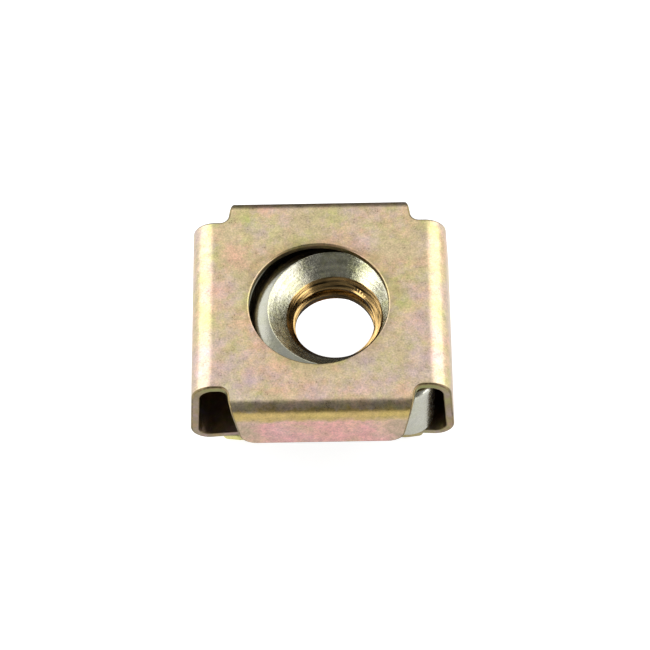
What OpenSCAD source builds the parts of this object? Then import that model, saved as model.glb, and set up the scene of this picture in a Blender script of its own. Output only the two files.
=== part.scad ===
// Rack cage nut: a loose square nut held in one folded spring-steel cage.
// The cage stands on its two lugs, the closed plate faces up, and the origin is
// under the middle of the plate at the level the lugs rest on.

/* [Sheet] */
// Thickness of the spring-steel sheet
sheet = 0.5; // [0.4:0.05:0.6]
// Height from the resting level up to the top of the plate
cage_h = 8.9; // [8.2:0.05:9.6]

/* [Plate] */
// Diameter of the round hole in the plate
plate_hole_d = 8.6; // [7:0.02:9.4]
// Position of the round hole along X, off the middle of the plate
plate_hole_x = -0.1; // [-0.3:0.02:0.3]
// Position of the round hole along Y, off the middle of the plate
plate_hole_y = -0.08; // [-0.3:0.02:0.3]
// Fillet in the inner corners of the four notches
notch_fillet = 0.55; // [0.1:0.05:0.7]

/* [Side loops] */
// Width of each side loop, measured along the rolled edge
loop_w = 12; // [11:0.1:12.8]
// Distance over the two side walls, just below the rolled edges
loop_span = 15.85; // [15.6:0.05:16.8]
// Depth from the top of the plate to the underside of the shoulders
loop_depth = 6.1; // [5.9:0.05:6.6]
// Inner radius of the rolled edge along the top
roll_r = 0.9; // [0.6:0.05:1]
// Inner radius of the bend at the foot of the wall
foot_r = 0.65; // [0.4:0.05:0.8]
// How far each wall leans outwards, in degrees
wall_flare = 3.5; // [0:0.5:5]
// How far each shoulder rises towards the middle, in degrees
shoulder_rise = 6; // [0:0.5:9]

/* [Lugs] */
// Side of the square panel hole that the lugs snap into
panel_hole = 9.5; // [9.2:0.05:9.8]
// Clearance between a lug and the panel hole, on each side
panel_clearance = 0.1; // [0.05:0.05:0.3]
// Inner radius of the bend from shoulder to neck
neck_r = 0.3; // [0.2:0.05:0.4]
// Inner radius of the hook at the foot of each lug
hook_r = 0.5; // [0.3:0.05:0.6]
// How far each hook turns up past level, in degrees
hook_rise = 12; // [0:1:20]
// Straight length at the tip of each hook
hook_tip = 1; // [0.5:0.05:1.2]
// Corner radius at the tip of each hook
hook_corner_r = 0.3; // [0.1:0.05:0.5]

/* [End flanges] */
// Distance over the two end flanges
flange_span = 15.4; // [14.8:0.1:16]
// Width of each flange where it leaves the plate
flange_w = 11.5; // [10.6:0.05:11.6]
// Width of each flange at its lower edge, before its corners are rounded
flange_foot_w = 9.85; // [8.8:0.05:10.3]
// Depth from the top of the plate to the lower edge of each flange
flange_depth = 3.95; // [3.2:0.05:4.6]
// Inner radius of the bend between plate and flange
flange_r = 0.4; // [0.2:0.05:0.6]
// Radius of the two lower corners of each flange
flange_corner_r = 0.9; // [0.3:0.05:1.2]

/* [Nut] */
// Width across the flats of the nut
nut_w = 12.6; // [11.6:0.1:12.8]
// Radius of the four upright corners of the nut
nut_corner_r = 1.65; // [0.5:0.05:3]
// Chamfer around the top face of the nut
nut_top_chamfer = 0.4; // [0.1:0.05:0.6]
// Chamfer around the under face of the nut
nut_foot_chamfer = 0.15; // [0.05:0.05:0.4]
// Diameter of the plain bore, which is the minor diameter of the thread
bore_d = 4.92; // [4:0.02:5.6]
// Diameter of the countersink in each face of the nut
sink_d = 8.2; // [7:0.02:9]
// Angle of the whole countersink cone, in degrees
sink_angle = 90; // [80:1:110]
// Gap between the top of the nut and the plate above it
nut_gap = 0.25; // [0.1:0.05:0.4]
// Gap left where the loose nut leans towards the right-hand loop
lean_gap = 0.03; // [0.02:0.01:0.5]
// Gap between the nut and the two shoulders that it rests on
seat_gap = 0.02; // [0.01:0.01:0.1]
// How far the loose nut is turned, clockwise from above, in degrees
nut_turn = 2.5; // [0:0.5:3]

/* [Hidden] */
$fn = 96;
// Cutters reach this far past the surface they cut
past = 1;
// Facets in each small rounded corner of an outline
corner_steps = 8;
// How far each straight run of a folded strip reaches into the bends beside it
overlap = 0.0002;

// Outer radii of the bends
roll_outer = roll_r + sheet;
foot_outer = foot_r + sheet;
hook_outer = hook_r + sheet;
flange_outer = flange_r + sheet;

// Lugs: half the distance over the two necks, and the width of each lug
neck_face = panel_hole / 2 - panel_clearance;
lug_w = panel_hole - 2 * panel_clearance;

// Section of a side loop, with the top of the plate at zero height: bend centres,
// and the straight runs that join one bend to the next
roll_x = loop_span / 2 - roll_outer;
wall_run = (loop_depth - roll_outer - foot_outer
    + (roll_outer - foot_outer) * sin(wall_flare)) / cos(wall_flare);
foot_x = roll_x + (roll_outer - foot_outer) * cos(wall_flare) + wall_run * sin(wall_flare);
foot_z = foot_outer - loop_depth;
neck_x = neck_face + neck_r;
shoulder_run = (foot_x - (foot_outer + neck_r) * sin(shoulder_rise) - neck_x)
    / cos(shoulder_rise);
neck_z = foot_z - (foot_outer + neck_r) * cos(shoulder_rise)
    + shoulder_run * sin(shoulder_rise);
hook_z = hook_outer - cage_h;
hook_reach = neck_face + hook_r + hook_outer * sin(hook_rise) + hook_tip * cos(hook_rise);

// Legs of the folded strips: straight run, bend after it, inner radius of the bend.
// A bend above zero turns towards the under face, and one below zero the other way
SIDE_LEGS = [
    [roll_x, 90 - wall_flare, roll_r],
    [wall_run, 90 + wall_flare + shoulder_rise, foot_r],
    [shoulder_run, -90 - shoulder_rise, neck_r],
    [neck_z - hook_z, -90 - hook_rise, hook_r],
    [hook_tip, 0, 0]
];
FLANGE_LEGS = [
    [flange_span / 2 - flange_outer, 90, flange_r],
    [flange_depth - flange_outer, 0, 0]
];

// Taper of each flange side, for each millimetre run from the notch over the bend
flange_run = (flange_span - loop_w) / 2 + flange_depth;
flange_taper = (flange_w - flange_foot_w) / 2 / flange_run;

// Nut: it rests on the crowns of the shoulders and leans to the right until its
// chamfered top edge nears the inside of the rolled edge
nut_top = -sheet - nut_gap;
nut_foot = neck_z + neck_r + sheet + seat_gap;
nut_h = nut_top - nut_foot;
nut_reach = (nut_w / 2 - nut_corner_r) * (cos(nut_turn) + sin(nut_turn)) + nut_corner_r;
edge_rise = roll_r - nut_gap;
side_rise = max(0, edge_rise - nut_top_chamfer);
lean_x = roll_x + min(
    sqrt(roll_r ^ 2 - side_rise ^ 2),
    sqrt(roll_r ^ 2 - edge_rise ^ 2) + nut_top_chamfer
);
nut_shift = lean_x - lean_gap - nut_reach;
sink_depth = (sink_d - bore_d) / 2 / tan(sink_angle / 2);

// Points along an arc about c, from angle a0 to a1
function arc(c, r, a0, a1) = [
    for (i = [0:corner_steps])
        let (a = a0 + (a1 - a0) * i / corner_steps)
        c + r * [cos(a), sin(a)]
];

// Where leg i of a folded strip starts: x and y on its outer face, and its heading
function leg_start(legs, i) = i == 0 ? [0, 0, 0] : leg_end(leg_start(legs, i - 1), legs[i - 1]);

// The same point and heading past the bend that ends a leg
function leg_end(start, leg) =
    let (
        from = start[2],
        to = from - leg[1],
        side = sign(leg[1]),
        r = leg[1] > 0 ? leg[2] + sheet : leg[2]
    ) [
        start.x + leg[0] * cos(from) + side * r * (sin(from) - sin(to)),
        start.y + leg[0] * sin(from) - side * r * (cos(from) - cos(to)),
        to
    ];

// Part of a ring as thick as the sheet, from straight up round to an angle
module bend_sector(r, angle) {
    reach = 2 * (r + sheet);
    intersection() {
        difference() {
            circle(r + sheet);
            circle(r);
        }
        polygon([[0, 0], for (s = [0:3]) reach * [sin(angle * s / 3), cos(angle * s / 3)]]);
    }
}

// Section of a folded strip. It starts at the origin along +X with its outer face
// on the axis, and each leg follows on from the last
module strip_section(legs) {
    for (i = [0:len(legs) - 1]) {
        start = leg_start(legs, i);
        bend = legs[i][1];
        r = legs[i][2];
        translate([start.x, start.y]) rotate(start[2]) {
            translate([-overlap, -sheet]) square([legs[i][0] + 2 * overlap, sheet]);
            if (bend > 0) translate([legs[i][0], -sheet - r]) bend_sector(r, bend);
            if (bend < 0) translate([legs[i][0], r]) mirror([0, 1]) bend_sector(r, -bend);
        }
    }
}

// What is cut off beside a lug: the relief beside its neck, and the waste round the
// rounded corner of its hook
module lug_waste() {
    inner_x = neck_face - sheet - past;
    relief_z = neck_z + neck_r + sheet + past;
    hook_top = (hook_z - loop_depth) / 2;
    corner = [hook_reach - hook_corner_r, lug_w / 2 - hook_corner_r];
    translate([inner_x, lug_w / 2, -cage_h - past])
        cube([neck_x - inner_x, (loop_w - lug_w) / 2 + past, cage_h + past + relief_z]);
    translate([0, 0, -cage_h - past]) linear_extrude(cage_h + past + hook_top) polygon(concat(
        [[inner_x, lug_w / 2]],
        arc(corner, hook_corner_r, 90, 0),
        [[hook_reach + past, corner.y], [hook_reach + past, loop_w / 2 + past],
            [inner_x, loop_w / 2 + past]]
    ));
}

// Half of the plate, with the loop and the lug that hang from it, on the +X side
module side_loop() {
    difference() {
        rotate([90, 0, 0]) linear_extrude(loop_w, center = true) strip_section(SIDE_LEGS);
        for (end = [0, 1]) mirror([0, end, 0]) lug_waste();
    }
}

// Prism that gives a flange its taper. Its outline is extruded at 45 degrees, so
// the sides narrow at one rate along the plate and down the drop
module flange_taper_prism() {
    reach = 4 * flange_span;
    start = loop_w / 2 / sqrt(2);
    stop = start + (flange_run + past) / sqrt(2);
    stop_x = flange_foot_w / 2 - flange_taper * past;
    start_x = flange_w / 2;
    rotate([-45, 0, 0]) linear_extrude(reach, center = true)
        polygon([[-start_x, 0], [start_x, 0], [start_x, start], [stop_x, stop],
            [-stop_x, stop], [-start_x, start]]);
}

// What is cut off outside the rounded lower corner of a flange, in front view
module flange_corner_waste() {
    lean = atan(flange_taper);
    c = [flange_foot_w / 2 + flange_taper * flange_corner_r - flange_corner_r / cos(lean),
        flange_corner_r - flange_depth];
    edge = arc(c, flange_corner_r, -90, -lean);
    polygon(concat(edge, [[flange_w, edge[corner_steps].y], [flange_w, -flange_depth - past],
        [c.x, -flange_depth - past]]));
}

// Fillets where one flange meets the loops, in plan
module notch_fillet_web() {
    lean = atan(flange_taper);
    c = [flange_w / 2 - flange_taper * notch_fillet + notch_fillet / cos(lean),
        loop_w / 2 + notch_fillet];
    edge = arc(c, notch_fillet, -90, lean - 180);
    polygon(concat([[flange_w / 2 - notch_fillet, c.y - 2 * notch_fillet],
        [c.x, c.y - 2 * notch_fillet]], edge, [[flange_w / 2 - notch_fillet, c.y]]));
}

// Flange on the +Y side, with the fillets beside it
module end_flange() {
    difference() {
        intersection() {
            rotate([90, 0, 90]) linear_extrude(flange_w + 2 * past, center = true)
                strip_section(FLANGE_LEGS);
            flange_taper_prism();
        }
        for (side = [0, 1]) mirror([side, 0, 0])
            translate([0, flange_span / 2 + past, 0]) rotate([90, 0, 0])
                linear_extrude(sheet + 2 * past) flange_corner_waste();
    }
    for (side = [0, 1]) mirror([side, 0, 0])
        translate([0, 0, -sheet]) linear_extrude(sheet) notch_fillet_web();
}

module cage() {
    color("#c9b88c") translate([0, 0, cage_h]) difference() {
        union() {
            for (side = [0, 1]) mirror([side, 0, 0]) side_loop();
            for (end = [0, 1]) mirror([0, end, 0]) end_flange();
        }
        translate([plate_hole_x, plate_hole_y, -sheet - past])
            cylinder(h = sheet + 2 * past, d = plate_hole_d);
    }
}

// Outline of the nut: a square with rounded corners
module nut_outline() {
    flat = nut_w - 2 * nut_corner_r;
    square([nut_w, flat], center = true);
    square([flat, nut_w], center = true);
    for (x = [-1, 1], y = [-1, 1]) translate([x, y] * flat / 2) circle(nut_corner_r);
}

// Prism as long as the nut is wide, whose slopes cut the chamfers along two sides
module chamfer_prism(half_w) {
    rise = nut_h / 2;
    rotate([90, 0, 0]) linear_extrude(2 * nut_w, center = true) polygon([
        [half_w - nut_foot_chamfer, 0],
        [half_w - nut_foot_chamfer + rise, rise],
        [half_w - nut_top_chamfer + rise, rise],
        [half_w - nut_top_chamfer, nut_h],
        [nut_top_chamfer - half_w, nut_h],
        [nut_top_chamfer - half_w - rise, rise],
        [nut_foot_chamfer - half_w - rise, rise],
        [nut_foot_chamfer - half_w, 0]
    ]);
}

// Countersink: a cone that opens downwards at the under face of the nut
module countersink() {
    slope = tan(sink_angle / 2);
    translate([0, 0, -past]) cylinder(
        h = sink_depth + past,
        r1 = sink_d / 2 + past * slope,
        r2 = bore_d / 2
    );
}

module square_nut() {
    corner_half = nut_w / sqrt(2) - nut_corner_r * (sqrt(2) - 1);
    color("#c8c8b8") translate([nut_shift, 0, cage_h + nut_foot]) rotate(-nut_turn)
        difference() {
            intersection() {
                linear_extrude(nut_h) nut_outline();
                intersection_for(a = [0, 90]) rotate(a) chamfer_prism(nut_w / 2);
                intersection_for(a = [45, 135]) rotate(a) chamfer_prism(corner_half);
            }
            translate([0, 0, -past]) cylinder(h = nut_h + 2 * past, d = bore_d);
            countersink();
            translate([0, 0, nut_h]) mirror([0, 0, 1]) countersink();
        }
}

cage();
square_nut();
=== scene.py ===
import math
from types import SimpleNamespace

import bmesh
import bpy
from bpy.props import FloatProperty, FloatVectorProperty, PointerProperty
from mathutils import Matrix, Vector


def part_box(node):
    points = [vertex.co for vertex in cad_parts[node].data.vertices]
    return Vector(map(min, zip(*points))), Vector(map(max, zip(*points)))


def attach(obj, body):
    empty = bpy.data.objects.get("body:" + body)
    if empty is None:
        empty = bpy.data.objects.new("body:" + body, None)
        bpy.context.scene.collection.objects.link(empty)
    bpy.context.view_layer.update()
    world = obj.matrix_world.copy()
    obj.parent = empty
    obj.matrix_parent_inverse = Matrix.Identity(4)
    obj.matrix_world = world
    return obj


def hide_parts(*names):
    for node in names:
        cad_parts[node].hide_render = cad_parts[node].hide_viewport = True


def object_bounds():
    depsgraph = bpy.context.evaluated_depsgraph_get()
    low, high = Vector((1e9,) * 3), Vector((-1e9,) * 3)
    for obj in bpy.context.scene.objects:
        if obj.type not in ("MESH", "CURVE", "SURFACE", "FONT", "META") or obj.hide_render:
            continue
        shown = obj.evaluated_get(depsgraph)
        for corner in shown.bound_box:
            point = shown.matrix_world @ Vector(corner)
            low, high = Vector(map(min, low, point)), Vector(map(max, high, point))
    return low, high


bl_info = {
    "name": "Rack Cage Nut",
    "version": (1, 0, 0),
    "blender": (4, 5, 0),
    "location": "View3D > Sidebar > Cage Nut",
    "description": "Folds the sheet-steel cage, cuts the square nut and sets the studio",
    "category": "Add Mesh",
}

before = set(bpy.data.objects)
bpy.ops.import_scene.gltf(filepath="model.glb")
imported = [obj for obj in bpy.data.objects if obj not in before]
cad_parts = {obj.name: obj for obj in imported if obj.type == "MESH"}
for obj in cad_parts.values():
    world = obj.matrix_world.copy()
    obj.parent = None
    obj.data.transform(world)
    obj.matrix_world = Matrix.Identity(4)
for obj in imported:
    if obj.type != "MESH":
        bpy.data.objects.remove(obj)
CAD_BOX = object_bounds()
CAGE_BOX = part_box("cage")
NUT_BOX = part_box("square_nut")
NUT_MIDDLE = (NUT_BOX[0] + NUT_BOX[1]) / 2

X, Y, Z = Vector((1, 0, 0)), Vector((0, 1, 0)), Vector((0, 0, 1))
QUARTER = math.pi / 2
# Pieces are shaped in millimetres and brought down to metres when they are done
BENCH = 1000
# Turn of one facet in a bend, in degrees
FACET = 5.0
# Anything closer than this is one point, in millimetres
TOUCH = 1e-4
# How far a vertex may lie off the circle of the hole and still belong to it, in millimetres
HOLE_SLACK = 0.01
# How far a cutting tool reaches past the nut, in millimetres
PAST = 1.0
# Edges of the folded sheet that turn more than this were sheared, in degrees
SHEARED_TURN = 60
# The material slots of the cage, and those of the drill
OUTER, SHEARED, INNER, ARRIS = range(4)
CONE, THREAD, CREST, DISH = range(4)

# The range that most of the plating grain's height lies in, and how far the roughness
# of a metal strays with it
GRAIN_LOW, GRAIN_HIGH = 0.55, 1.15
GRAIN_SPREAD = 0.06
# How much of the red, green and blue is kept in a ring around the hole, which darkens and
# # yellows it there, and how strong this and the marks of the folds are
HALO_TONE = (0.82, 0.80, 0.68)
MARK_SHARE = 0.85
# How bright the film stays in the dish of the nut, darkened as painted shade under the rim
# # of the hole, and the green on top of a sheared edge
DISH_SHADE = 0.52
CROWN_TONE = 0.52
# What is left of the film's colours on the countersinks
CONE_TONE = (1.0, 0.98, 0.9, 1)

# The camera: its turn, its height over the floor and its roll, in degrees, its distance
# in metres, and where it aims, in millimetres from the middle of the hole
CAMERA_TURN, CAMERA_HEIGHT, CAMERA_ROLL = 1.07, 58.39, -1.88
CAMERA_DISTANCE = 0.1862
CAMERA_AIM = (0.377, -1.595, 0)
LENS, SENSOR = 168.6, 36.0
# The lamps: name, the way to each, its two sides in metres and its power in watts
LAMPS = (
    ("left back", (-0.75, 0.5, 0.55), (0.28, 0.32), 0.43),
    ("right back", (0.75, 0.5, 0.55), (0.26, 0.30), 0.36),
    ("left side", (-0.80, -0.46, 0.42), (0.12, 0.10), 0.15),
    ("right side", (0.90, -0.22, 0.33), (0.22, 0.14), 0.20),
)
LAMP_DISTANCE = 0.3
# How far the floor reaches from the middle, in metres
FLOOR_REACH = 1.5
# What the metal mirrors of the floor is dark in a fan behind the part: how much the fan
# widens, how dark it is, and how brightly the rest of the floor glows
FAN_SPREAD, FAN_DARK, FLOOR_GLOW = 0.45, 0.94, 0.23
# The way to the part of the room overhead that is dimmed
OVERHEAD = (0, -0.643, 0.766)
WHITE = (1, 1, 1, 1)


def length(name, description, default):
    """A length that the user may set, in metres."""
    return FloatProperty(
        name=name,
        description=description,
        default=default,
        min=0.0,
        precision=5,
        subtype="DISTANCE",
        unit="LENGTH",
    )


def shift(name, description, default):
    """A place along an axis that the user may set, in metres."""
    return FloatProperty(name=name, description=description, default=default, unit="LENGTH")


def slant(name, description, default):
    """An angle that the user may set, given in degrees."""
    return FloatProperty(
        name=name,
        description=description,
        default=math.radians(default),
        precision=2,
        subtype="ANGLE",
        unit="ROTATION",
    )


def tint(name, description, default):
    """A colour that the user may set."""
    return FloatVectorProperty(
        name=name, description=description, default=default, size=4, min=0.0, max=1.0, subtype="COLOR"
    )


class CageSizes(bpy.types.PropertyGroup):
    """Sizes of the folded cage"""

    sheet: length("Sheet", "Thickness of the spring-steel sheet", 0.0005)
    hole_radius: length("Hole radius", "Radius of the round hole in the plate", 0.0043)
    hole_x: shift("Hole X", "Place of the hole along X", -0.0001)
    hole_y: shift("Hole Y", "Place of the hole along Y", -0.00008)
    notch_fillet: length("Notch fillet", "Fillet in the corners of the notches", 0.00055)
    loop_width: length("Loop width", "Width of each side loop", 0.012)
    loop_span: length("Loop span", "Distance over the walls, just below the rolled edges", 0.01585)
    loop_depth: length("Loop depth", "Depth of each loop, down to the underside of its shoulder", 0.0061)
    roll_radius: length("Roll radius", "Outer radius of the rolled edges", 0.0014)
    foot_radius: length("Foot radius", "Outer radius of the bend under each wall", 0.00115)
    flare: slant("Flare", "Outward lean of the walls", 3.5)
    rise: slant("Rise", "How far the shoulders rise towards the middle", 6)
    neck_face: length("Neck face", "Distance from the middle to the outer face of each neck", 0.00465)
    lug_width: length("Lug width", "Width of each lug", 0.0093)
    neck_radius: length("Neck radius", "Inner radius where shoulder and neck meet", 0.0003)
    hook_radius: length("Hook radius", "Inner radius of the hooks", 0.0005)
    hook_rise: slant("Hook rise", "How far each hook turns up past level", 12)
    hook_tip: length("Hook tip", "Straight length at the tip of each hook", 0.001)
    hook_corner: length("Hook corner", "Radius of the corners of each hook", 0.0003)
    flange_span: length("Flange span", "Distance over the two flanges", 0.0154)
    flange_width: length("Flange width", "Width of each flange at the plate", 0.0115)
    flange_foot: length("Flange foot", "Width of each flange at its lower edge", 0.00985)
    flange_depth: length("Flange depth", "Depth of each flange", 0.00395)
    flange_radius: length("Flange radius", "Outer radius of the bend to each flange", 0.0009)
    flange_corner: length("Flange corner", "Radius of the lower corners of each flange", 0.0009)
    edge_roll: length("Edge roll", "Rounding along the sheared edges, on the outer face", 0.00012)
    edge_break: length("Edge break", "Rounding along the sheared edges, on the inner face", 0.00006)
    hole_roll: length("Hole roll", "Rounding around the upper edge of the hole", 0.00012)


class NutSizes(bpy.types.PropertyGroup):
    """Sizes of the square nut"""

    width: length("Width", "Width of the nut across its flats", 0.0126)
    corner: length("Corner", "Radius of the upright corners", 0.00165)
    dish_radius: length("Dish radius", "Radius of the shallow dish around the upper countersink", 0.0053)
    dish_depth: length("Dish depth", "Depth of the dish at its outer edge", 0.00044)
    top_chamfer: length("Top chamfer", "Chamfer around the top face", 0.0004)
    foot_chamfer: length("Foot chamfer", "Chamfer around the under face", 0.00015)
    turn: slant("Turn", "How far the loose nut is turned, clockwise from above", 2.5)
    bore_radius: length("Bore radius", "Minor radius of the thread", 0.00246)
    groove_radius: length("Groove radius", "Major radius of the thread", 0.003)
    pitch: length("Pitch", "Pitch of the thread", 0.001)
    thread_start: slant("Thread start", "Turn of the thread about the bore", -105)
    sink_radius: length("Sink radius", "Radius of each countersink at the face", 0.0041)
    sink_slope: slant("Sink slope", "Half of the angle of each countersink", 45)
    rim_round: length("Rim rounding", "Rounding where a countersink meets the face", 0.00008)


class Finish(bpy.types.PropertyGroup):
    """Colours of the two pieces and of the floor"""

    gold: tint("Gold", "Main colour of the passivated cage", (0.57, 0.46, 0.28, 1))
    pink: tint("Pink", "Pink cloud in the passivation", (0.74, 0.43, 0.31, 1))
    green: tint("Green", "Green cloud in the passivation", (0.48, 0.50, 0.18, 1))
    lilac: tint("Lilac", "Lilac cloud in the passivation", (0.56, 0.42, 0.45, 1))
    # Painted reflection: the yellow line under each bend to a flange
    bend_reflection: tint("Straw", "Line of thicker film under the bends to the flanges", (0.48, 0.35, 0.11, 1))
    blush: tint("Blush", "Pink film in the middle of each flange", (0.72, 0.37, 0.37, 1))
    sage: tint("Sage", "Grey green film at the ends of each flange", (0.38, 0.34, 0.21, 1))
    # Painted shade: the inner face is darkened for the shade inside the loops and under the plate
    inner: tint("Inner face", "Film on the inner face of the sheet, which drains last", (0.27, 0.18, 0.08, 1))
    # Painted highlight: the yellow glint at the feet of the lugs
    lug_glint: tint("Glint", "Yellow film at the feet of the lugs, where the bath drips off", (0.84, 0.80, 0.36, 1))
    # Painted shade: darker on the rounded arrises and on the wall of the hole
    arris: tint("Arris", "Dark film along the arrises and in the hole", (0.30, 0.235, 0.11, 1))
    cut: tint("Cut edge", "Colour of the sheared edges of the cage", (0.28, 0.22, 0.13, 1))
    zinc: tint("Zinc", "Colour of the plated nut", (0.56, 0.56, 0.49, 1))
    bronze: tint("Bronze", "Colour of the flanks of the thread", (0.38, 0.25, 0.10, 1))
    # Painted shade: near black, in the bore and on the lower countersink
    bore_shade: tint("Crest", "Colour of the drilled bore, on the crests of the thread", (0.08, 0.05, 0.02, 1))
    floor: tint("Floor", "Colour of the studio floor", (0.86, 0.86, 0.86, 1))


# ---- Shaping -------------------------------------------------------------------


def on_bench(sizes):
    """The lengths of a property group in millimetres, and its angles as they are."""
    values = {}
    for name, prop in sizes.bl_rna.properties.items():
        if prop.type == "FLOAT":
            value = getattr(sizes, name)
            values[name] = value * BENCH if prop.unit == "LENGTH" else value
    return SimpleNamespace(**values)


def of_kind(elements, kind):
    """The vertices, edges or faces in a mixed list."""
    return [e for e in elements if isinstance(e, kind)]


def draw_to(bm, vert, place):
    """Draws a straight line from a vertex to a place and returns the new vertex."""
    end = bm.verts.new(place)
    bm.edges.new((vert, end))
    return end


def draw_arc(bm, vert, centre, angle, steps=8):
    """Draws an arc in plan from a vertex, round a centre, and returns its end."""
    made = bmesh.ops.spin(bm, geom=[vert], cent=centre, axis=Z, angle=angle, steps=steps)
    return of_kind(made["geom_last"], bmesh.types.BMVert)[0]


def run_on(bm, edges, step):
    """Carries the open edge of a strip straight on and returns the new open edge."""
    made = bmesh.ops.extrude_edge_only(bm, edges=edges)["geom"]
    bmesh.ops.translate(bm, verts=of_kind(made, bmesh.types.BMVert), vec=step)
    return of_kind(made, bmesh.types.BMEdge)


def round_edges(bm, edges, radius, segments, slot=-1, clamp=False):
    """Rounds edges off. The new faces get a material slot, or at -1 that of a neighbour."""
    bmesh.ops.bevel(
        bm,
        geom=edges,
        offset=radius,
        segments=segments,
        profile=0.5,
        affect="EDGES",
        material=slot,
        clamp_overlap=clamp,
    )


def fold_strip(bm, edges, side, legs):
    """Folds a strip off the plate. Each leg is a straight run, the half width that goes
    on, the bend that follows, in radians, and its radius on the outer face. A bend
    above zero turns the strip under."""
    heading = side.copy()
    axis = side.cross(-Z)
    across = Vector((abs(side.y), abs(side.x), 0))
    for run, half_width, bend, radius in legs:
        if run:
            edges = run_on(bm, edges, heading * run)
        edges = [e for e in edges if all(abs(v.co.dot(across)) < half_width + TOUCH for v in e.verts)]
        if bend:
            way = math.copysign(1, bend)
            inward = Matrix.Rotation(QUARTER * way, 3, axis) @ heading
            start = edges[0].verts[0].co
            verts = list({v for e in edges for v in e.verts})
            made = bmesh.ops.spin(
                bm,
                geom=verts + edges,
                cent=start + inward * radius,
                axis=axis * way,
                angle=abs(bend),
                steps=math.ceil(math.degrees(abs(bend)) / FACET),
            )
            edges = of_kind(made["geom_last"], bmesh.types.BMEdge)
            heading = Matrix.Rotation(bend, 3, axis) @ heading
    return edges


def round_corners(bm, edges, across, half_width, radius):
    """Rounds the two corners at the end of a strip."""
    corners = {v for e in edges for v in e.verts if abs(abs(v.co.dot(across)) - half_width) < TOUCH}
    bmesh.ops.bevel(
        bm, geom=list(corners), offset=radius, segments=6, profile=0.5, affect="VERTICES", material=-1
    )


def draw_plate(bm, s, taper):
    """Draws one quarter of the plate's outline, mirrors it, adds the hole and fills it.
    Returns how far out the side loops and the flanges are folded off."""
    lean = math.atan(taper)
    roll_x = s.loop_span / 2 - s.roll_radius
    fold_y = s.flange_span / 2 - s.flange_radius
    side_y = s.loop_width / 2
    fillet_x = s.flange_width / 2 - taper * s.notch_fillet + s.notch_fillet / math.cos(lean)
    fillet = Vector((fillet_x, side_y + s.notch_fillet, 0))
    pen = bm.verts.new((roll_x, 0, 0))
    pen = draw_to(bm, pen, (roll_x, s.lug_width / 2, 0))
    pen = draw_to(bm, pen, (roll_x, side_y, 0))
    pen = draw_to(bm, pen, (fillet.x, side_y, 0))
    pen = draw_arc(bm, pen, fillet, lean - QUARTER)
    pen = draw_to(bm, pen, (s.flange_width / 2 - taper * (fold_y - side_y), fold_y, 0))
    draw_to(bm, pen, (0, fold_y, 0))
    for axis in "XY":
        bmesh.ops.mirror(bm, geom=bm.verts[:] + bm.edges[:], matrix=Matrix(), merge_dist=TOUCH, axis=axis)
    bmesh.ops.remove_doubles(bm, verts=bm.verts, dist=TOUCH)
    bmesh.ops.create_circle(
        bm, segments=128, radius=s.hole_radius, matrix=Matrix.Translation((s.hole_x, s.hole_y, 0))
    )
    bmesh.ops.triangle_fill(bm, use_beauty=True, edges=bm.edges, normal=Z)
    inside = [e for e in bm.edges if len(e.link_faces) == 2]
    bmesh.ops.dissolve_limit(bm, angle_limit=math.radians(1), verts=[], edges=inside)
    return roll_x, fold_y


def fold_cage(s, top):
    """The cage as one folded sheet. Its material slots are the outer face, the sheared
    edges, the inner face, and the arrises with the wall of the hole."""
    bm = bmesh.new()
    side_y = s.loop_width / 2
    taper = (s.flange_width - s.flange_foot) / 2 / (s.flange_span / 2 - side_y + s.flange_depth)
    roll_x, fold_y = draw_plate(bm, s, taper)

    wall_run = (
        s.loop_depth - s.roll_radius - s.foot_radius + (s.roll_radius - s.foot_radius) * math.sin(s.flare)
    ) / math.cos(s.flare)
    foot_x = roll_x + (s.roll_radius - s.foot_radius) * math.cos(s.flare) + wall_run * math.sin(s.flare)
    foot_z = s.foot_radius - s.loop_depth
    shoulder_run = (
        foot_x - (s.foot_radius + s.neck_radius) * math.sin(s.rise) - s.neck_face - s.neck_radius
    ) / math.cos(s.rise)
    neck_z = foot_z - (s.foot_radius + s.neck_radius) * math.cos(s.rise) + shoulder_run * math.sin(s.rise)
    neck_run = neck_z - (s.hook_radius + s.sheet - top)
    side_legs = [
        (0, side_y, QUARTER - s.flare, s.roll_radius),
        (wall_run, side_y, QUARTER + s.flare + s.rise, s.foot_radius),
        (shoulder_run, s.lug_width / 2, -QUARTER - s.rise, s.neck_radius),
        (neck_run, side_y, -QUARTER - s.hook_rise, s.hook_radius),
        (s.hook_tip, side_y, 0, 0),
    ]
    flange_legs = [
        (0, side_y, QUARTER, s.flange_radius),
        (s.flange_depth - s.flange_radius, side_y, 0, 0),
    ]
    for way in (1, -1):
        lip = [e for e in bm.edges if all(abs(v.co.x - way * roll_x) < TOUCH for v in e.verts)]
        tip = fold_strip(bm, lip, X * way, side_legs)
        round_corners(bm, tip, Y, s.lug_width / 2, s.hook_corner)
    for way in (1, -1):
        lip = [e for e in bm.edges if all(abs(v.co.y - way * fold_y) < TOUCH for v in e.verts)]
        tip = fold_strip(bm, lip, Y * way, flange_legs)
        for v in bm.verts:
            if v.co.y * way > fold_y + TOUCH and abs(v.co.x) > TOUCH:
                half = s.flange_width / 2 - taper * (v.co.y * way - side_y - v.co.z)
                v.co.x = math.copysign(half, v.co.x)
        round_corners(bm, tip, X, s.flange_foot / 2, s.flange_corner)

    bmesh.ops.remove_doubles(bm, verts=bm.verts, dist=TOUCH)
    bmesh.ops.recalc_face_normals(bm, faces=bm.faces)
    middle = max(bm.faces, key=lambda f: (abs(f.normal.z), f.calc_area()))
    if middle.normal.z < 0:
        bmesh.ops.reverse_faces(bm, faces=bm.faces)
    outer = set(bm.faces)
    made = bmesh.ops.solidify(bm, geom=bm.faces[:], thickness=s.sheet)
    inner = set(of_kind(made["geom"], bmesh.types.BMFace)) - outer
    break_arrises(bm, s, outer, inner)
    bmesh.ops.translate(bm, verts=bm.verts, vec=(0, 0, top))
    return bm


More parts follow.
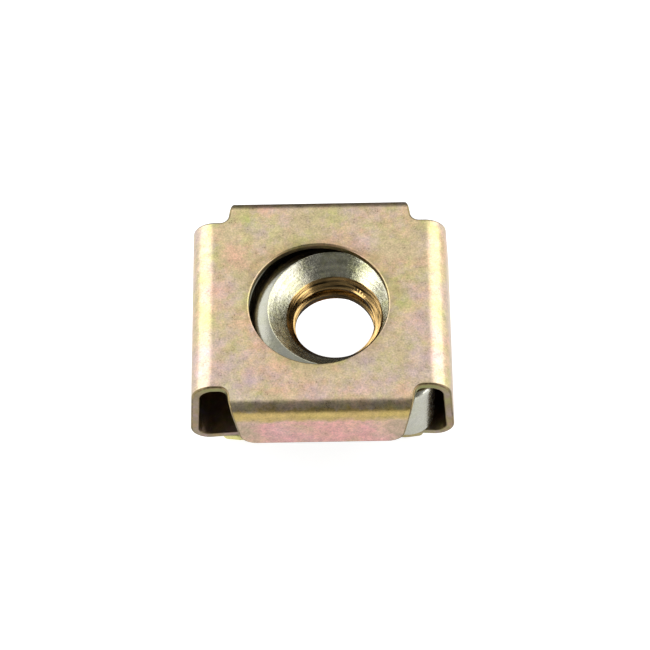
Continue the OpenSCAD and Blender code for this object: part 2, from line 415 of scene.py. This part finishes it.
def break_arrises(bm, s, outer, inner):
    """Gives each face of the sheet its material slot, and rounds the arrises."""

    def off_circle(v):
        return math.hypot(v.co.x - s.hole_x, v.co.y - s.hole_y) - s.hole_radius

    for f in bm.faces:
        f.material_index = OUTER if f in outer else INNER if f in inner else SHEARED
        # The wall of the hole takes the dark finish of the arrises, which is painted shade
        if all(v.co.z > -2 * s.sheet and off_circle(v) < HOLE_SLACK for v in f.verts):
            f.material_index = ARRIS
    rim = [e for e in bm.edges if all(v.co.z > -TOUCH and abs(off_circle(v)) < HOLE_SLACK for v in e.verts)]
    round_edges(bm, rim, s.hole_roll, segments=4, slot=OUTER, clamp=True)
    # The punch rolls the arris of the outer face over, and leaves the other nearly sharp
    for roll, face_side in ((s.edge_roll, OUTER), (s.edge_break, INNER)):
        sheared = [
            e
            for e in bm.edges
            if len(e.link_faces) == 2
            and e.calc_face_angle() > math.radians(SHEARED_TURN)
            and any(f.material_index == face_side for f in e.link_faces)
        ]
        round_edges(bm, sheared, roll, segments=4, slot=ARRIS, clamp=True)


def spin_solid(outline):
    """A closed solid turned about Z from an outline of radii and heights, whose ends
    lie on the axis."""
    bm = bmesh.new()
    pen = bm.verts.new((outline[0][0], 0, outline[0][1]))
    for radius, height in outline[1:]:
        pen = draw_to(bm, pen, (radius, 0, height))
    bmesh.ops.spin(
        bm, geom=bm.verts[:] + bm.edges[:], cent=(0, 0, 0), axis=Z, angle=math.tau, steps=160, use_merge=True
    )
    bmesh.ops.remove_doubles(bm, verts=bm.verts, dist=TOUCH)
    bmesh.ops.recalc_face_normals(bm, faces=bm.faces)
    return bm


def cut_blank(s, height):
    """The square blank, with rounded corners and broken edges."""
    bm = bmesh.new()
    bmesh.ops.create_cube(bm, size=1)
    bmesh.ops.scale(bm, verts=bm.verts, vec=(s.width, s.width, height))
    bmesh.ops.translate(bm, verts=bm.verts, vec=(0, 0, height / 2))
    upright = [e for e in bm.edges if abs(e.verts[0].co.z - e.verts[1].co.z) > TOUCH]
    round_edges(bm, upright, s.corner, segments=12)
    for level, chamfer, steps in ((height, s.top_chamfer, 4), (0, s.foot_chamfer, 3)):
        ring = [e for e in bm.edges if all(abs(v.co.z - level) < TOUCH for v in e.verts)]
        round_edges(bm, ring, chamfer, segments=steps)
    return bm


def bore_tool(s, height):
    """The drill that leaves the bore, both countersinks and the dish round the upper one."""
    depth = (s.sink_radius - s.bore_radius) / math.tan(s.sink_slope)
    # The rim of each countersink is rounded: an arc from the cone up to the face
    rim = s.sink_radius + s.rim_round * math.tan(s.sink_slope / 2)
    steps = 4
    turns = [s.sink_slope * i / steps for i in range(steps + 1)]
    mouth = [(rim - s.rim_round * math.sin(a), s.rim_round * (1 - math.cos(a))) for a in turns]
    break_in = depth - (s.groove_radius - s.bore_radius) / math.tan(s.sink_slope)
    sink = [*mouth, (s.groove_radius, break_in), (s.bore_radius, depth)]
    bank = s.dish_radius + s.dish_depth / 2
    foot = [(0, -PAST), (rim, -PAST), *sink]
    top = [(0, -PAST), (bank, -PAST), (bank, 0), (s.dish_radius, s.dish_depth), *sink]
    outline = foot + [(radius, height - level) for radius, level in reversed(top)]
    bm = spin_solid(outline)
    for f in bm.faces:
        middle = f.calc_center_median()
        upright = abs(f.normal.z) < 0.1
        # The crests of the thread and the lower countersink take the near-black finish, which is painted
        # shade
        if middle.xy.length < s.groove_radius:
            f.material_index = CREST if upright else THREAD
        elif middle.z < height / 2:
            f.material_index = CREST
        else:
            f.material_index = DISH if middle.xy.length > rim else CONE
    return bm


def thread_tool(s, height):
    """The tap: a cam that climbs one pitch a turn, and cuts only outside the bore."""
    bm = bmesh.new()
    around, steps_a_turn = 96, 32
    # The groove of a 60 degree thread is an eighth of the pitch wide at its root
    half_root, flank = 1 / 16, math.sqrt(3)
    # Between the grooves the tap stays inside the bore
    idle = s.bore_radius - 0.2
    ring = bmesh.ops.create_circle(bm, segments=around, radius=1, cap_ends=False)["verts"]
    for v in ring:
        turn = math.atan2(v.co.y, v.co.x) / math.tau
        fall = max(0.0, abs(turn) - half_root) * s.pitch * flank
        v.co *= max(s.groove_radius - fall, idle) / v.co.length
    bmesh.ops.translate(bm, verts=ring, vec=(0, 0, -PAST))
    bmesh.ops.rotate(bm, verts=ring, cent=(0, 0, 0), matrix=Matrix.Rotation(s.thread_start, 3, "Z"))
    climb = height + 2 * PAST
    turns = climb / s.pitch
    steps = round(turns * steps_a_turn)
    made = bmesh.ops.spin(
        bm,
        geom=bm.verts[:] + bm.edges[:],
        cent=(0, 0, 0),
        axis=Z,
        dvec=(0, 0, climb / steps),
        angle=math.tau * turns,
        steps=steps,
    )
    for end in (ring, of_kind(made["geom_last"], bmesh.types.BMVert)):
        ends = set(end)
        bmesh.ops.contextual_create(
            bm, geom=[e for e in bm.edges if e.is_boundary and all(v in ends for v in e.verts)]
        )
    bmesh.ops.triangulate(bm, faces=bm.faces)
    bmesh.ops.recalc_face_normals(bm, faces=bm.faces)
    return bm


def as_piece(bm, name, materials):
    """A mesh object at the origin, from a bmesh."""
    mesh = bpy.data.meshes.new(name)
    bm.to_mesh(mesh)
    bm.free()
    for material in materials:
        mesh.materials.append(material)
    piece = bpy.data.objects.new(name, mesh)
    bpy.context.scene.collection.objects.link(piece)
    return piece


def cut_away(piece, tools):
    """Cuts each tool out of a piece, and leaves the tool's finish on the cut."""
    for tool in tools:
        cut = piece.modifiers.new("cut", "BOOLEAN")
        cut.operation = "DIFFERENCE"
        cut.solver = "EXACT"
        cut.material_mode = "TRANSFER"
        cut.object = tool
    graph = bpy.context.evaluated_depsgraph_get()
    graph.update()
    done = bpy.data.meshes.new_from_object(piece.evaluated_get(graph), depsgraph=graph)
    piece.modifiers.clear()
    old, piece.data = piece.data, done
    bpy.data.meshes.remove(old)
    for tool in tools:
        spare = tool.data
        bpy.data.objects.remove(tool)
        bpy.data.meshes.remove(spare)


def even_shading(piece, sharp):
    """Smooth shading that keeps flats flat and edges over an angle crisp."""
    piece.data.shade_smooth()
    piece.data.set_sharp_from_angle(angle=math.radians(sharp))
    weigh = piece.modifiers.new("even shading", "WEIGHTED_NORMAL")
    weigh.keep_sharp = True
    weigh.weight = 80


# ---- Materials -----------------------------------------------------------------


def put(tree, kind, **links):
    """Adds a node. Names in lower case set the node itself, and the others its inputs:
    I and a number is the input at that place, and an underscore stands for a space."""
    node = tree.nodes.new(kind)
    for key, value in links.items():
        if key.islower():
            setattr(node, key, value)
            continue
        place = int(key[1:]) if key[0] == "I" and key[1:].isdigit() else key.replace("_", " ")
        socket = node.inputs[place]
        if isinstance(value, bpy.types.NodeSocket):
            tree.links.new(value, socket)
        else:
            socket.default_value = value
    return node


def maths(tree, operation, *values):
    """A number worked out from others."""
    inputs = {f"I{i}": value for i, value in enumerate(values)}
    return put(tree, "ShaderNodeMath", operation=operation, **inputs).outputs[0]


def vectors(tree, operation, *values, **named):
    """A vector, or for a length, distance or dot product a number, worked out from others."""
    inputs = {f"I{i}": value for i, value in enumerate(values)}
    node = put(tree, "ShaderNodeVectorMath", operation=operation, **inputs, **named)
    return node.outputs["Value" if operation in ("LENGTH", "DISTANCE", "DOT_PRODUCT") else "Vector"]


def ramp(tree, value, low, high, start=0.0, end=1.0, kind="SMOOTHSTEP"):
    """A number that goes from start to end while the value goes from low to high."""
    limits = {"I1": low, "I2": high, "I3": start, "I4": end}
    return put(tree, "ShaderNodeMapRange", interpolation_type=kind, Value=value, **limits).outputs[0]


def noise(tree, place, size, detail, roughness):
    """A cloudy texture. The greater its size, the finer it is."""
    return put(tree, "ShaderNodeTexNoise", Vector=place, Scale=size, Detail=detail, Roughness=roughness)


def mixed(tree, share, first, second):
    """A colour between two others."""
    return put(tree, "ShaderNodeMix", data_type="RGBA", I0=share, I6=first, I7=second).outputs[2]


def bare_tree(owner):
    """The emptied node tree of a material or a world."""
    owner.use_nodes = True
    owner.node_tree.nodes.clear()
    return owner.node_tree


def group_of(name, ins, outs):
    """A node group with named inputs and outputs."""
    tree = bpy.data.node_groups.new(name, "ShaderNodeTree")
    for label, kind, value in ins:
        socket = tree.interface.new_socket(label, in_out="INPUT", socket_type=kind)
        if value is not None:
            socket.default_value = value
    for label, kind in outs:
        tree.interface.new_socket(label, in_out="OUTPUT", socket_type=kind)
    return tree, tree.nodes.new("NodeGroupInput").outputs, tree.nodes.new("NodeGroupOutput").inputs


def cloud_group():
    """Soft clouds of colour, as in a passivation film of uneven thickness."""
    tree, given, result = group_of(
        "Film clouds",
        [
            ("Place", "NodeSocketVector", None),
            ("Size", "NodeSocketFloat", 500.0),
            ("Base", "NodeSocketColor", (0.8, 0.7, 0.5, 1)),
            ("First", "NodeSocketColor", (0.8, 0.6, 0.5, 1)),
            ("Second", "NodeSocketColor", (0.6, 0.65, 0.4, 1)),
            ("Third", "NodeSocketColor", (0.7, 0.6, 0.6, 1)),
            ("Amount", "NodeSocketFloat", 0.6),
        ],
        [("Color", "NodeSocketColor")],
    )
    colour = given["Base"]
    for i, name in enumerate(("First", "Second", "Third")):
        spot = vectors(tree, "ADD", given["Place"], (0.03 * i, 0.05 * i, 0.02 * i))
        cloud = noise(tree, spot, given["Size"], 9.0, 0.7).outputs["Fac"]
        mask = ramp(tree, cloud, 0.46, 0.72, kind="LINEAR")
        colour = mixed(tree, maths(tree, "MULTIPLY", mask, given["Amount"]), colour, given[name])
    tree.links.new(colour, result["Color"])
    return tree


def fold_group():
    """Masks for marks on the sheet: the line under each bend to a flange, which is a painted
    reflection, the skirt of a flange and its ends, the halo around the hole, the painted
    highlight at the feet of the lugs, and the crown on top."""
    tree, given, result = group_of(
        "Fold marks",
        [("Place", "NodeSocketVector", None), ("Top", "NodeSocketFloat", 0.0089)],
        [(name, "NodeSocketFloat") for name in ("Line", "Skirt", "Ends", "Halo", "Glint", "Crown")],
    )
    # The borders of the masks wander, most along X
    stray = noise(tree, given["Place"], 1100.0, 5.0, 0.65).outputs["Color"]
    drift = vectors(tree, "SUBTRACT", stray, (0.5, 0.5, 0.5))
    loose = vectors(tree, "MULTIPLY_ADD", drift, (0.003, 0.0006, 0.0012), given["Place"])
    part = put(tree, "ShaderNodeSeparateXYZ", Vector=loose).outputs
    down = maths(tree, "SUBTRACT", given["Top"], part["Z"])
    across = maths(tree, "ABSOLUTE", part["X"])
    along = maths(tree, "ABSOLUTE", part["Y"])
    reach = vectors(tree, "LENGTH", vectors(tree, "MULTIPLY", loose, (1, 1, 0)))

    def both(first, second):
        return maths(tree, "MULTIPLY", first, second)

    flange = ramp(tree, along, 0.0068, 0.0073)
    patch = noise(tree, given["Place"], 650.0, 7.0, 0.7).outputs["Fac"]
    skirt = both(both(flange, ramp(tree, down, 0.0009, 0.0015)), ramp(tree, patch, 0.34, 0.62, 0.45, 1.0))
    # Painted reflection: a thin band just under the bend to each flange
    line = both(flange, both(ramp(tree, down, 0.0001, 0.0004), ramp(tree, down, 0.0009, 0.0015, 1.0, 0.0)))
    # Painted highlight at the feet of the lugs, strongest on the left and at the front
    side = ramp(tree, part["X"], -0.001, 0.001, 1.0, 0.3)
    front = ramp(tree, part["Y"], -0.0038, 0.0005, 1.0, 0.25)
    for name, mask in (
        ("Line", line),
        ("Skirt", skirt),
        ("Ends", both(skirt, ramp(tree, across, 0.0034, 0.0047))),
        ("Halo", ramp(tree, reach, 0.0043, 0.0053, 1.0, 0.0)),
        ("Crown", ramp(tree, part["Z"], 0.0078, 0.0086)),
        ("Glint", both(ramp(tree, part["Z"], 0.0006, 0.0020, 1.0, 0.0), both(side, front))),
    ):
        tree.links.new(mask, result[name])
    return tree


def grain_group():
    """Fine grain: a brightness that scatters about one, and a height for bumps."""
    tree, given, result = group_of(
        "Plating grain",
        [
            ("Place", "NodeSocketVector", None),
            ("Size", "NodeSocketFloat", 9000.0),
            ("Contrast", "NodeSocketFloat", 0.25),
        ],
        [("Brightness", "NodeSocketFloat"), ("Height", "NodeSocketFloat")],
    )
    fine = noise(tree, given["Place"], given["Size"], 3.0, 0.7).outputs["Fac"]
    broad = noise(tree, given["Place"], maths(tree, "MULTIPLY", given["Size"], 0.22), 4.0, 0.6).outputs["Fac"]
    height = maths(tree, "MULTIPLY_ADD", broad, 0.7, fine)
    low = maths(tree, "MULTIPLY_ADD", given["Contrast"], -0.7, 1.0)
    high = maths(tree, "ADD", 1.0, given["Contrast"])
    tree.links.new(ramp(tree, height, GRAIN_LOW, GRAIN_HIGH, low, high, kind="LINEAR"), result["Brightness"])
    tree.links.new(height, result["Height"])
    return tree


def turning_group():
    """Rings left by the tool that turned a surface about an upright axis: a brightness."""
    tree, given, result = group_of(
        "Turning marks",
        [
            ("Place", "NodeSocketVector", None),
            ("Axis", "NodeSocketVector", (0, 0, 0)),
            ("Size", "NodeSocketFloat", 5000.0),
            ("Contrast", "NodeSocketFloat", 0.3),
        ],
        [("Brightness", "NodeSocketFloat")],
    )
    arm = vectors(tree, "SUBTRACT", given["Place"], given["Axis"])
    flat = vectors(tree, "MULTIPLY", arm, (1, 1, 0))
    part = put(tree, "ShaderNodeSeparateXYZ", Vector=arm).outputs
    # A sum of radius and height that changes both down a cone and down a bore
    level = maths(tree, "MULTIPLY_ADD", vectors(tree, "LENGTH", flat), 0.5, part["Z"])
    around = vectors(tree, "SCALE", flat, Scale=0.06)
    across = put(tree, "ShaderNodeCombineXYZ", X=0.0, Y=0.0, Z=level).outputs[0]
    rings = noise(tree, vectors(tree, "ADD", around, across), given["Size"], 3.0, 0.6).outputs["Fac"]
    low = maths(tree, "SUBTRACT", 1.0, given["Contrast"])
    high = maths(tree, "ADD", 1.0, given["Contrast"])
    tree.links.new(ramp(tree, rings, 0.35, 0.65, low, high, kind="LINEAR"), result["Brightness"])
    return tree


def shared(name, build, tree, **values):
    """Puts a node group into a tree. It is built the first time it is asked for."""
    group = bpy.data.node_groups.get(name) or build()
    return put(tree, "ShaderNodeGroup", node_tree=group, **values).outputs


def fold_marks(tree, place):
    """The masks for the folds of the cage."""
    return shared("Fold marks", fold_group, tree, Place=place, Top=CAGE_BOX[1].z)


# Each of the next five gives a function that puts a colour into a material's tree


def plain(colour):
    """A colour that is the same all over, before grain and marks."""

    def give(tree, place):
        return vectors(tree, "ADD", tuple(colour)[:3])

    return give


def cloudy(base, first, second, third, size, amount):
    """A colour that drifts between four tints."""
    tints = {"Base": tuple(base), "First": tuple(first), "Second": tuple(second), "Third": tuple(third)}

    def give(tree, place):
        clouds = shared("Film clouds", cloud_group, tree, Place=place, Size=size, Amount=amount, **tints)
        return clouds["Color"]

    return give


def folded(tints):
    """The film on the outer face: clouds of colour, changed where the sheet is folded, with a painted
    reflection in a line under each bend to a flange.
    """

    def give(tree, place):
        film = cloudy(tints.gold, tints.pink, tints.green, tints.lilac, size=420.0, amount=0.9)
        colour = film(tree, place)
        marks = fold_marks(tree, place)
        for mask, tone in (
            ("Halo", vectors(tree, "MULTIPLY", colour, HALO_TONE)),
            ("Skirt", tuple(tints.blush)),
            ("Ends", tuple(tints.sage)),
            # The painted reflection under the bends
            ("Line", tuple(tints.bend_reflection)),
        ):
            colour = mixed(tree, maths(tree, "MULTIPLY", marks[mask], MARK_SHARE), colour, tone)
        return colour

    return give


def worn(base, tints, share, crown=0.0):
    """A darker film with clouds of pink, green and lilac, a painted yellow highlight at the feet
    of the lugs, and as much green on top as the crown says. The share is how bright its clouds are."""
    clouds = [tuple(share * c for c in tone) for tone in (tints.pink, tints.green, tints.lilac)]
    green = tuple(CROWN_TONE * c for c in tints.green)

    def give(tree, place):
        colour = cloudy(base, *clouds, size=700.0, amount=0.95)(tree, place)
        marks = fold_marks(tree, place)
        colour = mixed(tree, maths(tree, "MULTIPLY", marks["Crown"], crown), colour, green)
        # The painted yellow highlight at the feet of the lugs
        return mixed(tree, marks["Glint"], colour, tuple(tints.lug_glint))

    return give


def turned(colour_of, size, contrast):
    """A colour with the rings of a turning tool over it, about the axis of the nut."""

    def give(tree, place):
        colour = colour_of(tree, place)
        marks = {"Place": place, "Axis": NUT_MIDDLE, "Size": size, "Contrast": contrast}
        rings = shared("Turning marks", turning_group, tree, **marks)
        return vectors(tree, "SCALE", colour, Scale=rings["Brightness"])

    return give


def metal(name, colour_of, size, contrast, roughness, bump):
    """A metal finish: a colour, with grain in its brightness, roughness and relief. The
    size and the contrast are the grain's, and the bump is its height in metres."""
    material = bpy.data.materials.new(name)
    tree = bare_tree(material)
    place = put(tree, "ShaderNodeTexCoord").outputs["Object"]
    colour = colour_of(tree, place)
    speck = shared("Plating grain", grain_group, tree, Place=place, Size=size, Contrast=contrast)
    limits = (GRAIN_LOW, GRAIN_HIGH, roughness - GRAIN_SPREAD, roughness + GRAIN_SPREAD)
    relief = put(tree, "ShaderNodeBump", Strength=1.0, Distance=bump, Height=speck["Height"])
    shader = put(
        tree,
        "ShaderNodeBsdfPrincipled",
        Base_Color=vectors(tree, "SCALE", colour, Scale=speck["Brightness"]),
        Metallic=1.0,
        Roughness=ramp(tree, speck["Height"], *limits, kind="LINEAR"),
        Normal=relief.outputs[0],
    )
    put(tree, "ShaderNodeOutputMaterial", Surface=shader.outputs[0])
    return material


# ---- Operators -----------------------------------------------------------------


class CAGENUT_OT_cage(bpy.types.Operator):
    """Fold the cage from one sheet and give it its passivated finish"""

    bl_idname = "cage_nut.cage"
    bl_label = "Fold Cage"

    def execute(self, context):
        scene = context.scene
        tints = scene.nut_finish
        film = folded(tints)
        outer = metal("passivated_sheet", film, size=9000.0, contrast=0.45, roughness=0.32, bump=2.5e-6)
        film = worn(tints.cut, tints, share=0.68, crown=0.85)
        sheared = metal("sheared_edge", film, size=7000.0, contrast=0.3, roughness=0.4, bump=8e-6)
        # Painted shade on the inner face of the sheet
        film = worn(tints.inner, tints, share=0.6)
        inner = metal("inner_face_painted_shade", film, size=7000.0, contrast=0.2, roughness=0.42, bump=5e-6)
        # Painted shade on the arrises and the wall of the hole
        film = worn(tints.arris, tints, share=0.2)
        arris = metal("arris_painted_shade", film, size=7000.0, contrast=0.4, roughness=0.4, bump=5e-6)
        bm = fold_cage(on_bench(scene.cage_sizes), CAGE_BOX[1].z * BENCH)
        bmesh.ops.scale(bm, verts=bm.verts, vec=Vector((1, 1, 1)) / BENCH)
        piece = as_piece(bm, "folded_cage", [outer, sheared, inner, arris])
        even_shading(piece, sharp=75)
        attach(piece, "root")
        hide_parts("cage")
        return {"FINISHED"}


class CAGENUT_OT_nut(bpy.types.Operator):
    """Cut the square nut, its countersinks and its thread"""

    bl_idname = "cage_nut.nut"
    bl_label = "Cut Nut"

    def execute(self, context):
        scene = context.scene
        tints = scene.nut_finish
        warm = tuple(0.5 * (a + b) for a, b in zip(tints.zinc, tints.bronze, strict=True))
        flat = [tuple(tone) for tone in (tints.zinc, warm, tints.green, tints.zinc)]
        # Painted shade: the dish around the upper countersink is darkened
        dish_shade = [tuple(DISH_SHADE * c for c in tone) for tone in flat]
        cast = [tuple(a * b for a, b in zip(tone, CONE_TONE, strict=True)) for tone in flat]
        film = cloudy(*flat, size=500.0, amount=0.3)
        face = metal("zinc_face", film, size=7000.0, contrast=0.15, roughness=0.26, bump=8e-6)
        film = cloudy(*dish_shade, size=500.0, amount=0.3)
        dish = metal("zinc_ring_painted_shade", film, size=7000.0, contrast=0.15, roughness=0.15, bump=4e-6)
        film = turned(cloudy(*cast, size=700.0, amount=0.7), size=6000.0, contrast=0.2)
        cone = metal("zinc_cone", film, size=7000.0, contrast=0.55, roughness=0.26, bump=16e-6)
        # Turning rings at full strength: tool marks, and also painted highlights and shaded lines along the
        # thread
        film = turned(plain(tints.bronze), size=8000.0, contrast=1.0)
        thread = metal("zinc_thread", film, size=12000.0, contrast=0.25, roughness=0.18, bump=3e-6)
        # Painted shade in the bore and under the nut
        film = plain(tints.bore_shade)
        bore_shade = metal("drilled_bore_painted_shade", film, size=12000.0, contrast=0.25, roughness=0.3, bump=3e-6)
        s = on_bench(scene.nut_sizes)
        low, high = (corner * BENCH for corner in NUT_BOX)
        height = high.z - low.z
        piece = as_piece(cut_blank(s, height), "square_nut_blank", [face])
        drill = as_piece(bore_tool(s, height), "drill", [cone, thread, bore_shade, dish])
        tap = as_piece(thread_tool(s, height), "tap", [thread])
        cut_away(piece, [drill, tap])
        place = (
            Matrix.Scale(1 / BENCH, 4)
            @ Matrix.Translation(((low.x + high.x) / 2, (low.y + high.y) / 2, low.z))
            @ Matrix.Rotation(-s.turn, 4, "Z")
        )
        piece.data.transform(place)
        even_shading(piece, sharp=32)
        piece.name = "threaded_nut"
        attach(piece, "root")
        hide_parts("square_nut")
        return {"FINISHED"}


def softbox(name, towards, sides, power, centre):
    """A rectangular area lamp that faces the object from a direction."""
    lamp = bpy.data.lights.new(name, "AREA")
    lamp.shape = "RECTANGLE"
    lamp.size, lamp.size_y = sides
    lamp.energy = power
    holder = bpy.data.objects.new(name, lamp)
    way = Vector(towards).normalized()
    holder.location = centre + way * LAMP_DISTANCE
    holder.rotation_mode = "QUATERNION"
    holder.rotation_quaternion = way.to_track_quat("Z", "Y")
    bpy.context.scene.collection.objects.link(holder)


class CAGENUT_OT_studio(bpy.types.Operator):
    """Set the floor, the lamps, the surroundings and the camera"""

    bl_idname = "cage_nut.studio"
    bl_label = "Set Studio"

    def execute(self, context):
        scene = context.scene
        centre = (CAD_BOX[0] + CAD_BOX[1]) / 2
        self.lay_floor(scene)
        for name, towards, sides, power in LAMPS:
            softbox(name, towards, sides, power, centre)
        self.surround(scene)
        self.aim_camera(scene)
        scene.view_settings.view_transform = "Standard"
        return {"FINISHED"}

    def lay_floor(self, scene):
        """White paper for the camera, and for the metal paper that is dark behind the part."""
        bm = bmesh.new()
        bmesh.ops.create_grid(bm, x_segments=1, y_segments=1, size=FLOOR_REACH)
        bmesh.ops.translate(bm, verts=bm.verts, vec=(0, 0, CAD_BOX[0].z))
        material = bpy.data.materials.new("studio_floor")
        tree = bare_tree(material)
        spot = put(tree, "ShaderNodeTexCoord").outputs["Object"]
        part = put(tree, "ShaderNodeSeparateXYZ", Vector=spot).outputs
        # What the metal mirrors: the dark part is a fan that widens towards the back
        fan = maths(tree, "MULTIPLY_ADD", part["Y"], -FAN_SPREAD, 0.0045)
        edge = maths(tree, "ADD", maths(tree, "ABSOLUTE", part["X"]), fan)
        wide = ramp(tree, edge, 0.0055, 0.0085, FAN_DARK, 0.0)
        dark = maths(tree, "MULTIPLY", wide, ramp(tree, part["Y"], 0.001, 0.005))
        flag = maths(tree, "SUBTRACT", 1.0, dark)
        shade = vectors(tree, "SCALE", tuple(scene.nut_finish.floor)[:3], Scale=flag)
        paper = put(tree, "ShaderNodeBsdfDiffuse", Color=shade)
        power = maths(tree, "MULTIPLY", flag, FLOOR_GLOW)
        lift = put(tree, "ShaderNodeEmission", Color=WHITE, Strength=power)
        lit = put(tree, "ShaderNodeAddShader", I0=paper.outputs[0], I1=lift.outputs[0])
        # What the camera sees: white, with a soft shadow, and a painted pool of light where it looks through
        # the bore, in the nut's shadow
        below = NUT_MIDDLE + Vector((0, NUT_MIDDLE.z / math.tan(math.radians(CAMERA_HEIGHT)), 0))
        away = vectors(tree, "DISTANCE", spot, (below.x, below.y, 0))
        power = ramp(tree, away, 0.0045, 0.007, 1.0, 0.8)
        glow = put(tree, "ShaderNodeEmission", Color=WHITE, Strength=power)
        faint = put(tree, "ShaderNodeBsdfDiffuse", Color=(0.5, 0.5, 0.5, 1))
        shown = put(tree, "ShaderNodeAddShader", I0=glow.outputs[0], I1=faint.outputs[0])
        seen = put(tree, "ShaderNodeLightPath").outputs["Is Camera Ray"]
        face = put(tree, "ShaderNodeMixShader", Fac=seen, I1=lit.outputs[0], I2=shown.outputs[0])
        # The floor is left out when it is looked at from below
        back = put(tree, "ShaderNodeNewGeometry").outputs["Backfacing"]
        clear = put(tree, "ShaderNodeBsdfTransparent")
        whole = put(tree, "ShaderNodeMixShader", Fac=back, I1=face.outputs[0], I2=clear.outputs[0])
        put(tree, "ShaderNodeOutputMaterial", Surface=whole.outputs[0])
        as_piece(bm, "studio_floor_sheet", [material])

    def surround(self, scene):
        """A white room, which for all but the camera is dimmed overhead and behind."""
        world = bpy.data.worlds.new("studio")
        scene.world = world
        tree = bare_tree(world)
        way = put(tree, "ShaderNodeTexCoord").outputs["Generated"]
        over = ramp(tree, vectors(tree, "DOT_PRODUCT", way, OVERHEAD), 0.50, 0.80, 0.93, 0.16)
        behind = ramp(tree, vectors(tree, "DOT_PRODUCT", way, tuple(Y)), 0.78, 0.92, 1.0, 0.15)
        dim = maths(tree, "MULTIPLY", over, behind)
        seen = put(tree, "ShaderNodeLightPath").outputs["Is Camera Ray"]
        level = put(tree, "ShaderNodeMix", data_type="FLOAT", I0=seen, I2=dim, I3=1.0)
        back = put(tree, "ShaderNodeBackground", Color=WHITE, Strength=level.outputs[0])
        put(tree, "ShaderNodeOutputWorld", Surface=back.outputs[0])

    def aim_camera(self, scene):
        """The camera: turned about the upright, raised, and rolled about its line of sight."""
        sizes = scene.cage_sizes
        target = Vector((sizes.hole_x, sizes.hole_y, CAGE_BOX[1].z)) + Vector(CAMERA_AIM) / BENCH
        turn, height, roll = (math.radians(a) for a in (CAMERA_TURN, CAMERA_HEIGHT, CAMERA_ROLL))
        reach = math.cos(height)
        back = Vector((math.sin(turn) * reach, -math.cos(turn) * reach, math.sin(height)))
        right = Vector((math.cos(turn), math.sin(turn), 0))
        up = back.cross(right)
        lens = bpy.data.cameras.new("camera")
        lens.lens = LENS
        lens.sensor_width = SENSOR
        lens.clip_start = 0.01
        camera = bpy.data.objects.new("camera", lens)
        tilt_right = right * math.cos(roll) + up * math.sin(roll)
        tilt_up = up * math.cos(roll) - right * math.sin(roll)
        view = Matrix((tilt_right, tilt_up, back)).transposed().to_4x4()
        view.translation = target + back * CAMERA_DISTANCE
        camera.matrix_world = view
        scene.collection.objects.link(camera)
        scene.camera = camera


class CAGENUT_PT_parts(bpy.types.Panel):
    """Lists the pieces of the cage nut, their sizes and their colours"""

    bl_idname = "CAGENUT_PT_parts"
    bl_label = "Rack Cage Nut"
    bl_space_type = "VIEW_3D"
    bl_region_type = "UI"
    bl_category = "Cage Nut"

    def draw(self, context):
        scene = context.scene
        for operator, group in (
            ("cage_nut.cage", scene.cage_sizes),
            ("cage_nut.nut", scene.nut_sizes),
            ("cage_nut.studio", scene.nut_finish),
        ):
            column = self.layout.column(align=True)
            column.operator(operator)
            for name in group.bl_rna.properties.keys():
                if name not in ("rna_type", "name"):
                    column.prop(group, name)


CLASSES = (
    CageSizes,
    NutSizes,
    Finish,
    CAGENUT_OT_cage,
    CAGENUT_OT_nut,
    CAGENUT_OT_studio,
    CAGENUT_PT_parts,
)


def register():
    for cls in CLASSES:
        bpy.utils.register_class(cls)
    bpy.types.Scene.cage_sizes = PointerProperty(type=CageSizes)
    bpy.types.Scene.nut_sizes = PointerProperty(type=NutSizes)
    bpy.types.Scene.nut_finish = PointerProperty(type=Finish)


def unregister():
    del bpy.types.Scene.nut_finish
    del bpy.types.Scene.nut_sizes
    del bpy.types.Scene.cage_sizes
    for cls in reversed(CLASSES):
        bpy.utils.unregister_class(cls)


def main():
    register()
    bpy.ops.cage_nut.cage()
    bpy.ops.cage_nut.nut()
    bpy.ops.cage_nut.studio()


if __name__ == "__main__":
    main()
